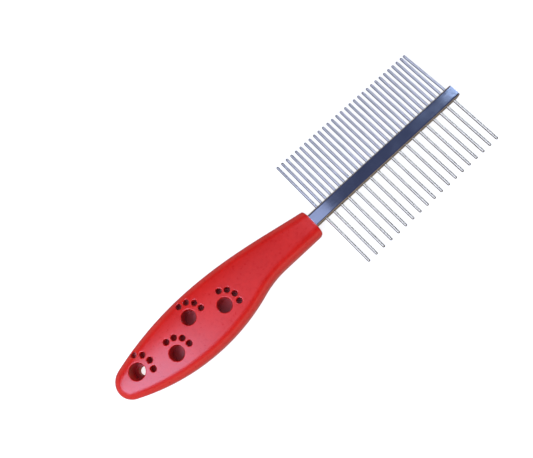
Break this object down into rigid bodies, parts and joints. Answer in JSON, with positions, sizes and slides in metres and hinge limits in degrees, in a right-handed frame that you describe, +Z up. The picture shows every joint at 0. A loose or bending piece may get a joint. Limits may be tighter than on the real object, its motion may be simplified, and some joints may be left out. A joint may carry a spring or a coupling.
{
  "type": "grooming comb",
  "caption": "Two-sided steel grooming comb: fine and coarse wire teeth on a folded steel spine, set in a moulded red handle with paw-print recesses and a hanging hole.",
  "frame": {"origin": "middle of the length and width, on the surface that the comb lies on", "axes": "+X along the comb from the handle to the tip, +Y to the fine teeth, +Z up out of the gripping face with the paw prints"},
  "size_m": [0.1704, 0.0504, 0.0129],
  "materials": {
    "handle_plastic": "moulded, fine satin texture",
    "spine_steel": "polished, lightly scratched along its length",
    "tooth_steel": "bright drawn wire",
    "core_steel": "as rolled"
  },
  "bodies": {
    "root": {"handle": "handle_plastic", "spine_channel": "spine_steel", "core_bar": "core_steel", "fine_tooth_01": "tooth_steel", "fine_tooth_02": "tooth_steel", "fine_tooth_03": "tooth_steel", "fine_tooth_04": "tooth_steel", "fine_tooth_05": "tooth_steel", "fine_tooth_06": "tooth_steel", "fine_tooth_07": "tooth_steel", "fine_tooth_08": "tooth_steel", "fine_tooth_09": "tooth_steel", "fine_tooth_10": "tooth_steel", "fine_tooth_11": "tooth_steel", "fine_tooth_12": "tooth_steel", "fine_tooth_13": "tooth_steel", "fine_tooth_14": "tooth_steel", "fine_tooth_15": "tooth_steel", "fine_tooth_16": "tooth_steel", "fine_tooth_17": "tooth_steel", "fine_tooth_18": "tooth_steel", "fine_tooth_19": "tooth_steel", "fine_tooth_20": "tooth_steel", "fine_tooth_21": "tooth_steel", "fine_tooth_22": "tooth_steel", "fine_tooth_23": "tooth_steel", "fine_tooth_24": "tooth_steel", "fine_tooth_25": "tooth_steel", "fine_tooth_26": "tooth_steel", "fine_tooth_27": "tooth_steel", "fine_tooth_28": "tooth_steel", "fine_tooth_29": "tooth_steel", "fine_tooth_30": "tooth_steel", "coarse_tooth_01": "tooth_steel", "coarse_tooth_02": "tooth_steel", "coarse_tooth_03": "tooth_steel", "coarse_tooth_04": "tooth_steel", "coarse_tooth_05": "tooth_steel", "coarse_tooth_06": "tooth_steel", "coarse_tooth_07": "tooth_steel", "coarse_tooth_08": "tooth_steel", "coarse_tooth_09": "tooth_steel", "coarse_tooth_10": "tooth_steel", "coarse_tooth_11": "tooth_steel", "coarse_tooth_12": "tooth_steel", "coarse_tooth_13": "tooth_steel", "coarse_tooth_14": "tooth_steel", "coarse_tooth_15": "tooth_steel", "coarse_tooth_16": "tooth_steel", "coarse_tooth_17": "tooth_steel", "coarse_tooth_18": "tooth_steel", "coarse_tooth_19": "tooth_steel"}
  },
  "joints": []
}
